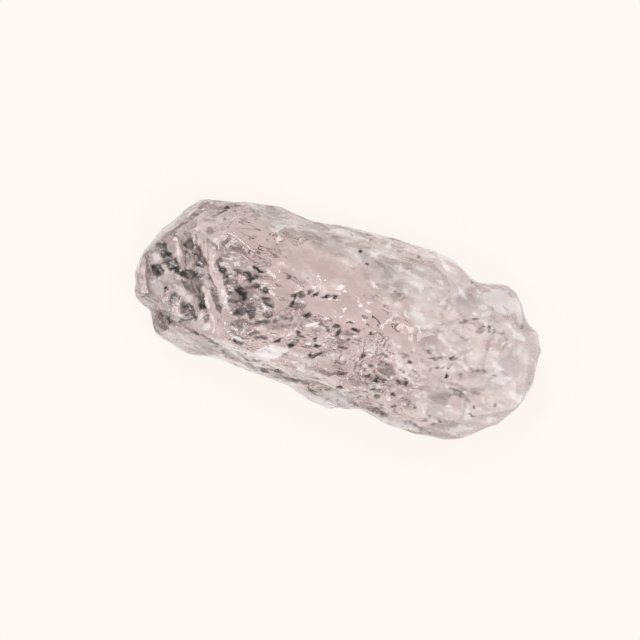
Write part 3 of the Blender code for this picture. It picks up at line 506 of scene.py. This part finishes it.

# %% [markdown]
# ## The skin's relief
# The imported solid is faceted, so its copy is remeshed to a fine even skin and softened. The
# relief is then pushed out of it point by point, because no displacement texture gives what a
# break in beryl has: flat chips, each tilted its own way, and calm ground that drops over low
# ledges. Chips and ledges are stretched along the crystal, as its growth is, and underneath,
# out of the photograph's sight, the chips are steeper. The same pass gives each point four
# masks, which the glass reads later: painted shade, white, streaky and striped.

# %% Copy the stone's mesh and remesh it finely
SKIN_CELL = 0.116 * MM
bpy.ops.object.select_all(action="DESELECT")
cad_node = bpy.data.objects["rough_morganite"]
stone = bpy.data.objects.new("morganite_crystal", cad_node.data.copy())
bpy.context.scene.collection.objects.link(stone)
bpy.context.view_layer.objects.active = stone
stone.select_set(True)
bpy.ops.object.mode_set(mode="EDIT")
bpy.ops.mesh.select_all(action="SELECT")
bpy.ops.mesh.remove_doubles(threshold=0.001 * MM)
bpy.ops.object.mode_set(mode="OBJECT")

skin = stone.modifiers.new("fine_skin", "REMESH")
skin.mode = "VOXEL"
skin.voxel_size = SKIN_CELL
bpy.ops.object.modifier_apply(modifier=skin.name)
soft = stone.modifiers.new("softened", "SMOOTH")
soft.factor = 0.5
soft.iterations = 2
bpy.ops.object.modifier_apply(modifier=soft.name)
print("points in the skin:", len(stone.data.vertices))

# %% Chips, ledges and stripes


def chips(q, slope):
    """Flat chips, one to a cell, each tilted its own way."""
    middle = noise.voronoi(q)[1][0]
    tilt = noise.cell_vector(middle * 7.31 + Vector((5.2, 1.3, 9.1)))
    return (q - middle).dot(tilt * 2.0 - Vector((1.0, 1.0, 1.0))) * slope


def ledges(q, levels):
    """Calm ground at a few levels, with a short drop from each to the next."""
    height = noise.noise(q) * levels
    level = math.floor(height)
    return (level + 0.5 + fade(height - level, 0.28, 0.72)) / levels - 1.0 / levels


def stripes(p):
    """Growth lines that run up the bevel."""
    across = p.x * -0.69 + p.y * 0.72
    along = p.x * 0.72 + p.y * 0.69
    return ledges(Vector((across * 2.0, along * 0.14, p.z * 0.5)), 3)


def cracks(point, streaky):
    """Thin curved cracks: a pale line of painted highlight, with a dark line of painted shade beside
    it.
    """
    along = Vector((point.x * 0.45, point.y, point.z)) * 1.9
    along = along + noise.noise_vector(point * 0.9) * 0.6
    off = noise.noise(along)
    there = noise.noise(point * 1.1 + Vector((4.0, 1.0, 7.0)))
    there = fade(there, 0.16 - 0.25 * streaky, 0.26 - 0.25 * streaky)
    pale = there * fade(0.05 - abs(off), 0.0, 0.03)
    dark = there * fade(0.05 - abs(off - 0.09), 0.0, 0.03)
    return pale, dark


def skin_at(point, facing):
    """The masks of a point of the skin, and how far it moves out, in millimetres."""
    seen = fade(facing.z, -0.3, 0.1)
    side = 1.0 - fade(abs(facing.z), 0.30, 0.80)
    near_floor = 1.0 - fade(point.z, 0.3, 1.5)
    under = fade(-facing.z, 0.15 + 0.60 * near_floor, 0.70 + 0.27 * near_floor)
    streaky, striped = broken(point), bevel(point)
    drift = noise.noise_vector(point * 0.55) * 0.5 + noise.noise_vector(point * 1.7) * 0.14
    q = Vector((point.x * 0.42, point.y, point.z)) + drift
    at = point + noise.noise_vector(point * 2.5) * 0.10 + noise.noise_vector(point * 4.5) * 0.10
    ragged = at + noise.noise_vector(point * 4.0) * 0.16
    on_bar = 0.0
    if point.x < -5.5:
        on_bar = max(fade(line(at, bar), 0.0, 0.35) for bar in PALE_BARS) * seen
    on_front = fade(line(at, FRONT_LINE), 0.0, 0.8) * seen if point.y < -3.0 else 0.0
    in_lens = fade(ovals(point, LENS_BY_X), 0.0, 0.3) * seen
    crack_painted_highlight, crack_painted_shade = cracks(point, streaky)
    marked = (0.9 - 0.65 * streaky) * seen * (1.0 - side)
    few = 1.0 - 0.8 * fade(point.x, 5.5, 8.5)
    # Painted shade: the listed smoky flaws and wide grey ovals darken the colour in place of dark
    # refractions, and so do the front groove, the bevel, the left end and each crack's dark line.
    painted_shade = max(ovals(at, PAINTED_SHADE_BY_X), 0.25 * on_front, 0.12 * striped,
                0.12 * (1.0 - fade(point.x, -10.0, -3.0)))
    painted_shade = (painted_shade + (1.0 - painted_shade) * ovals(at, WIDE_PAINTED_SHADE_BY_X)) * seen
    painted_shade = max(painted_shade, 0.65 * crack_painted_shade * (1.0 - marked) * few) * (1.0 - on_bar) * (1.0 - under)
    # Whiteness is milky glass, and in part painted light: the side faces are whiter for a bright rim,
    # the smallest white spots are glints, and each crack's pale line is a highlight.
    white = max(base_white(point, side), 0.36 * in_lens, 0.42 * on_bar,
                0.62 * fade(line(at, LENS_EDGE), 0.0, 0.5) * seen if point.x > 0.0 else 0.0,
                ovals(ragged, PALE_AND_GLINT_BY_X) * seen, 0.9 * crack_painted_highlight * (1.0 - marked) * few)
    mottle = noise.noise(q * 0.9) + noise.noise(q * 2.6)
    mottle = mottle * (0.15 + 0.10 * side) * (0.3 + 0.7 * few)
    veil = 0.14 * fade(noise.noise(q * 0.8 + Vector((6, 3, 8))), 0.02, 0.30)
    veil *= (1.0 - side) * (1.0 - on_bar)
    white = (white + veil + mottle * (1.0 - in_lens) * (1.0 - 0.6 * on_bar)) * (1.0 - under)
    white += under * max(0.38 * side, fade(point.z, 0.1, 0.7) * (0.33 + 0.8 * mottle))

    rim = 1.0 - 0.75 * (1.0 - fade(abs(facing.z), 0.2, 0.8))
    top = chips(q * 0.75, 0.05 + 0.22 * streaky)
    top += chips(q * 2.1 + Vector((3, 1, 2)), 0.02 + 0.05 * streaky)
    top += ledges(q * 0.55 + Vector((7, 2, 5)), 5) * 0.12
    top += ledges(q * 1.3 + Vector((2, 8, 1)), 4) * 0.12 * streaky
    top += striped * stripes(point) * 0.14 - 0.06 * painted_shade - 0.10 * on_front
    top *= (1.0 - 0.85 * max(on_bar, in_lens)) * rim
    calm_right = fade(point.x, 4.5, 8.5)
    low = chips(q * 0.42 + Vector((9, 3, 4)), 0.60 * (1.0 - 0.6 * calm_right))
    low += chips(q * 1.1 + Vector((1, 7, 2)), (0.16 + 0.25 * streaky) * (1.0 - 0.7 * calm_right))
    low -= 0.5
    out = top * (1.0 - under) + low * under + 0.02 * noise.fractal(q * 1.4, 0.9, 2.1, 3) - 0.05
    return out, painted_shade, white, streaky, striped


MASKS = ("painted_shade", "white", "streaky", "striped")
facings = [corner.normal.copy() for corner in stone.data.vertices]
found = [skin_at(corner.co / MM, facing) for corner, facing in zip(stone.data.vertices, facings)]
for corner, facing, point in zip(stone.data.vertices, facings, found):
    corner.co += facing * point[0] * MM
for index, name in enumerate(MASKS):
    kept = stone.data.attributes.new(name, "FLOAT", "POINT")
    values = [point[index + 1] for point in found]
    kept.data.foreach_set("value", values)
    print(name, "covers", round(sum(values) / len(values), 3), "of the skin")

worn = stone.modifiers.new("worn", "SMOOTH")
worn.factor = 0.35
worn.iterations = 1
bpy.ops.object.modifier_apply(modifier=worn.name)
stone.data.materials.clear()

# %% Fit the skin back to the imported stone's box and its flat base
for corner in stone.data.vertices:
    corner.co.z = max(corner.co.z, 0.0)
low_now = [min(corner.co[side] for corner in stone.data.vertices) for side in range(3)]
high_now = [max(corner.co[side] for corner in stone.data.vertices) for side in range(3)]
for corner in stone.data.vertices:
    for side in range(3):
        share = (corner.co[side] - low_now[side]) / (high_now[side] - low_now[side])
        corner.co[side] = cad_low[side] + share * (cad_high[side] - cad_low[side])
bpy.ops.object.shade_smooth()
print("relief took the box to, mm:", [round((h - l) / MM, 2) for l, h in zip(low_now, high_now)])

# %% [markdown]
# ## The glass
# Beryl is clear, with an index of refraction of 1.58. The pink is in the depth, so it comes
# from absorption and not from a painted surface. Where the break is too fine to see through,
# the stone turns white, so there are six steps of one glass, from clear to a white crack, and
# each face gets the step that its whiteness asks for; the whitest step also gives the painted
# glints. All six need the same streaks, ledges and painted shade, so these are one node group,
# which gives out a height, a darkness and a roughness.

# %% Start the group and its helpers
skin_group = bpy.data.node_groups.new("broken_skin", "ShaderNodeTree")
for name, low, high in (("Streaks", 0.0, 2.0), ("Painted Shade", 0.0, 2.0)):
    given = skin_group.interface.new_socket(name, in_out="INPUT", socket_type="NodeSocketFloat")
    given.default_value, given.min_value, given.max_value = 1.0, low, high
for name in ("Height", "Dark", "Roughness"):
    skin_group.interface.new_socket(name, in_out="OUTPUT", socket_type="NodeSocketFloat")
nodes, links = skin_group.nodes, skin_group.links
group_in, group_out = nodes.new("NodeGroupInput"), nodes.new("NodeGroupOutput")


def set_or_link(socket, value):
    """Joins an output to a socket, or sets the socket to a plain number, place or colour."""
    if hasattr(value, "is_output"):
        links.new(value, socket)
    else:
        socket.default_value = value


def math_node(operation, *values):
    node = nodes.new("ShaderNodeMath")
    node.operation = operation
    for socket, value in zip(node.inputs, values):
        set_or_link(socket, value)
    return node.outputs[0]


def ramp(value, start, end, low=0.0, high=1.0):
    """A soft step: low up to start, high from end on."""
    node = nodes.new("ShaderNodeMapRange")
    node.interpolation_type = "SMOOTHSTEP"
    for name, given in (("Value", value), ("From Min", start), ("From Max", end),
                        ("To Min", low), ("To Max", high)):
        set_or_link(node.inputs[name], given)
    return node.outputs["Result"]


def mask_node(name):
    node = nodes.new("ShaderNodeAttribute")
    node.attribute_name = name
    return node.outputs["Fac"]


def stretched(scale, turn=0.0):
    """Object coordinates in millimetres, squeezed or stretched, after a turn about Z."""
    node = nodes.new("ShaderNodeMapping")
    node.vector_type = "TEXTURE"
    links.new(place, node.inputs["Vector"])
    node.inputs["Rotation"].default_value = (0.0, 0.0, math.radians(turn))
    node.inputs["Scale"].default_value = [MM * side for side in scale]
    return node.outputs["Vector"]


def grain_noise(vector, scale, detail, distortion):
    node = nodes.new("ShaderNodeTexNoise")
    for name, given in (("Vector", vector), ("Scale", scale), ("Detail", detail),
                        ("Distortion", distortion)):
        set_or_link(node.inputs[name], given)
    return node.outputs["Fac"]


place = nodes.new("ShaderNodeTexCoord").outputs["Object"]
grain = stretched((2.2, 1.0, 1.0))
even = stretched((1.0, 1.0, 1.0))
shards = stretched((1.7, 1.0, 1.0), 8.0)
up_bevel = stretched((6.0, 1.0, 1.0), 44.0)
is_painted_shade, is_white, is_streaky, is_striped = [mask_node(name) for name in MASKS]

# %% Short streaks and fine ledges
bend = grain_noise(grain, 0.9, 1.0, 1.1)
nearness = math_node("ABSOLUTE", math_node("SUBTRACT", bend, 0.5))
fine_line = ramp(nearness, 0.0, 0.05, 1.0, 0.0)
gaps = ramp(grain_noise(grain, 1.5, 1.0, 0.0), 0.53, 0.62)
streak = math_node("MULTIPLY", math_node("MULTIPLY", fine_line, gaps), is_streaky)
streak = math_node("MULTIPLY", streak, ramp(is_streaky, 0.3, 0.8))
streak = math_node("MULTIPLY", streak, group_in.outputs["Streaks"])

second_bend = grain_noise(grain, 1.7, 1.0, 1.6)
second_near = math_node("ABSOLUTE", math_node("SUBTRACT", second_bend, 0.47))
second_gaps = ramp(grain_noise(even, 0.8, 1.0, 0.0), 0.54, 0.66)
speck = math_node("MULTIPLY", ramp(second_near, 0.0, 0.05, 1.0, 0.0), second_gaps)

level = math_node("MULTIPLY", bend, 7.0)
terrace = math_node("ADD", math_node("FLOOR", level), ramp(math_node("FRACT", level), 0.35, 0.65))
terrace = math_node("MULTIPLY", terrace, ramp(is_streaky, 0.0, 1.0, 0.0, 0.11))
lines_up = grain_noise(up_bevel, 2.2, 2.0, 0.2)
growth = math_node("MULTIPLY", math_node("MULTIPLY", lines_up, is_striped), 0.6)
height = math_node("ADD", terrace, math_node("MULTIPLY", streak, -0.35))
links.new(math_node("ADD", height, growth), group_out.inputs["Height"])

# %% Painted shade in crisp pieces, and frost
torn = grain_noise(shards, 1.7, 2.0, 1.0)
swirl = nodes.new("ShaderNodeTexNoise")
links.new(shards, swirl.inputs["Vector"])
swirl.inputs["Scale"].default_value = 1.3
drifted = nodes.new("ShaderNodeVectorMath")
drifted.operation = "MULTIPLY_ADD"
links.new(swirl.outputs["Color"], drifted.inputs[0])
drifted.inputs[1].default_value = (0.9, 0.9, 0.9)
links.new(shards, drifted.inputs[2])
facets = nodes.new("ShaderNodeTexVoronoi")
links.new(drifted.outputs["Vector"], facets.inputs["Vector"])
facets.inputs["Scale"].default_value = 2.6
by_facet = nodes.new("ShaderNodeSeparateColor")
links.new(facets.outputs["Color"], by_facet.inputs["Color"])
uneven = ramp(by_facet.outputs["Red"], 0.10, 0.50, 0.70, 1.08)
uneven = math_node("ADD", uneven, ramp(torn, 0.35, 0.65, -0.16, 0.26))
painted_shade_tone = math_node("MAXIMUM", math_node("MULTIPLY", is_painted_shade, uneven),
                  ramp(is_painted_shade, 0.86, 0.95, 0.0, 0.93))
painted_shade_tone = math_node("MULTIPLY", painted_shade_tone, group_in.outputs["Painted Shade"])
specks = math_node("MULTIPLY", speck, ramp(is_streaky, 0.0, 1.0, 0.0, 0.15))
# The streaks are grooves, and their dark line is painted shade.
dark = math_node("MAXIMUM", painted_shade_tone, math_node("MULTIPLY", streak, 0.35))
dark = math_node("MAXIMUM", dark, specks)
cloud = ramp(grain_noise(even, 0.55, 3.0, 0.5), 0.35, 0.7, 0.0, 0.10)
dark = math_node("MINIMUM", math_node("MAXIMUM", dark, cloud), 0.97)
left_over = math_node("SUBTRACT", 1.0, dark)
links.new(math_node("SUBTRACT", 1.0, math_node("MULTIPLY", left_over, left_over)),
          group_out.inputs["Dark"])
frost = math_node("ADD", is_white, math_node("MULTIPLY_ADD", torn, 0.5, -0.25))
links.new(ramp(frost, 0.2, 0.8, 0.05, 0.34), group_out.inputs["Roughness"])
print("nodes in the skin group:", len(nodes))

# %% Make six glasses, from clear to white
BERYL_IOR = 1.58
PINK_IN_DEPTH = (0.91, 0.765, 0.77, 1.0)
PINK_DENSITY = 155.0
BUMP_DEPTH = 0.06 * MM
GLASSES = {                     # share let through, streaks, painted shade, tint
    "clear_pale_morganite": (1.00, 1.0, 1.00, (0.862, 0.855, 0.850, 1.0)),
    "hazy_morganite": (0.86, 0.8, 1.00, (0.85, 0.815, 0.810, 1.0)),
    "milky_morganite": (0.72, 0.5, 0.95, (0.87, 0.802, 0.792, 1.0)),
    "cloudy_morganite": (0.56, 0.4, 0.90, (0.945, 0.866, 0.855, 1.0)),
    "frosted_morganite": (0.40, 0.4, 0.85, (0.97, 0.895, 0.885, 1.0)),
    "white_crack_and_glint": (0.15, 0.2, 0.80, (1.0, 0.950, 0.945, 1.0)),
}
for name, (see_through, streaks, painted_shade_share, tint_colour) in GLASSES.items():
    glass = bpy.data.materials.new(name)
    glass.use_nodes = True
    nodes, links = glass.node_tree.nodes, glass.node_tree.links
    shader = nodes["Principled BSDF"]
    shader.inputs["Transmission Weight"].default_value = see_through
    shader.inputs["IOR"].default_value = BERYL_IOR
    depth = nodes.new("ShaderNodeVolumeAbsorption")
    depth.inputs["Color"].default_value = PINK_IN_DEPTH
    depth.inputs["Density"].default_value = PINK_DENSITY
    links.new(depth.outputs["Volume"], nodes["Material Output"].inputs["Volume"])
    broken_skin = nodes.new("ShaderNodeGroup")
    broken_skin.node_tree = skin_group
    broken_skin.inputs["Streaks"].default_value = streaks
    broken_skin.inputs["Painted Shade"].default_value = painted_shade_share
    bump = nodes.new("ShaderNodeBump")
    bump.inputs["Distance"].default_value = BUMP_DEPTH
    links.new(broken_skin.outputs["Height"], bump.inputs["Height"])
    links.new(bump.outputs["Normal"], shader.inputs["Normal"])
    tint = nodes.new("ShaderNodeMix")
    tint.data_type = "RGBA"
    links.new(broken_skin.outputs["Dark"], tint.inputs["Factor"])
    clear_end, painted_shade_end = [socket for socket in tint.inputs if socket.type == "RGBA"]
    clear_end.default_value = tint_colour
    painted_shade_end.default_value = (0.0, 0.0, 0.0, 1.0)
    links.new(next(socket for socket in tint.outputs if socket.type == "RGBA"),
              shader.inputs["Base Color"])
    links.new(broken_skin.outputs["Roughness"], shader.inputs["Roughness"])
    stone.data.materials.append(glass)
    print(name, "lets", see_through, "of the light through")

# %% Give each face the glass that its whiteness asks for
STEPS = (0.14, 0.28, 0.42, 0.55, 0.70)      # whiteness at which each next glass begins
counts = [0] * len(GLASSES)
for face in stone.data.polygons:
    white = sum(found[corner][2] for corner in face.vertices) / len(face.vertices)
    face.material_index = sum(white > step for step in STEPS)
    counts[face.material_index] += 1
print("faces of each glass:", dict(zip(GLASSES, counts)))

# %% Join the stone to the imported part
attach(stone, "root")
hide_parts("rough_morganite")
